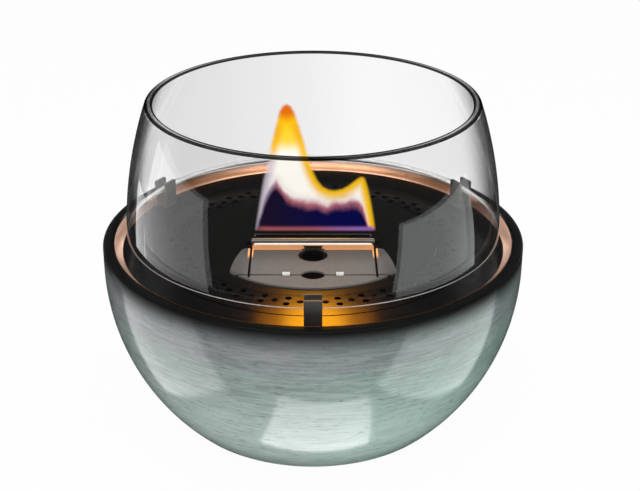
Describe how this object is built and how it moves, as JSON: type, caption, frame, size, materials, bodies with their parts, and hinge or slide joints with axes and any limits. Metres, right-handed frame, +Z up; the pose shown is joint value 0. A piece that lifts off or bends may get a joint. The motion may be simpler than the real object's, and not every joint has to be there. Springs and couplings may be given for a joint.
{
  "type": "tabletop fireplace",
  "caption": "Tabletop fireplace: glazed bowl, copper-coloured ring, perforated plate with a drop-in liquid-fuel burner, snuffer and refill flap, and an open glass chimney.",
  "frame": {"origin": "on the table, under the middle of the bowl", "axes": "+Z up; +X to the right seen from the front; the viewer, the refill flap and one clip are on -Y"},
  "size_m": [0.18, 0.18, 0.142],
  "materials": {
    "glaze": "teal-grey brushed glaze that darkens to black at the rim, glossy",
    "pad": "matt silicone",
    "gasket": "matt black",
    "copper": "polished copper colour",
    "fixing": "plain steel",
    "black_plate": "gloss black enamel",
    "black_clip": "satin black",
    "seat": "dark heat-proof ceramic",
    "glass": "clear heat-proof glass",
    "black_head": "satin black enamel",
    "can_steel": "drawn stainless steel",
    "fibre": "ceramic fibre, sooted at its top",
    "steel": "satin stainless steel with a straw heat tint beside the flame"
  },
  "bodies": {
    "bowl": {"bowl": "glaze", "foot_pads": "pad", "ring_gasket": "gasket", "trim_ring": "copper", "plate_studs": "fixing", "plate_nuts": "fixing", "top_plate": "black_plate", "clip_front": "black_clip", "clip_right": "black_clip", "clip_left": "black_clip", "clip_rivets": "fixing", "glass_seats": "seat"},
    "glass": {"glass_chimney": "glass"},
    "burner": {"burner_head": "black_head", "can_gasket": "gasket", "fuel_can": "can_steel", "fibre_core": "fibre", "wick_holder": "can_steel", "wick": "fibre", "filler_neck": "can_steel", "filler_strainer": "can_steel", "snuffer_rails": "black_head", "front_leaf": "steel", "side_leaf_left": "steel", "side_leaf_right": "steel", "hinge_pins": "fixing"},
    "flap": {"refill_flap": "steel"},
    "snuffer": {"snuffer": "steel"}
  },
  "joints": [
    {"name": "glass_lift", "type": "slide", "parent": "bowl", "child": "glass", "axis": [0, 0, 1], "range_m": [0, 0.08]},
    {"name": "burner_lift", "type": "slide", "parent": "bowl", "child": "burner", "axis": [0, 0, 1], "range_m": [0, 0.075]},
    {"name": "flap_hinge", "type": "hinge", "parent": "burner", "child": "flap", "pos_m": [0, -0.0358, 0.07855], "axis": [1, 0, 0], "range_deg": [0, 110]},
    {"name": "snuffer_slide", "type": "slide", "parent": "burner", "child": "snuffer", "axis": [0, 1, 0], "range_m": [0, 0.0046]}
  ]
}
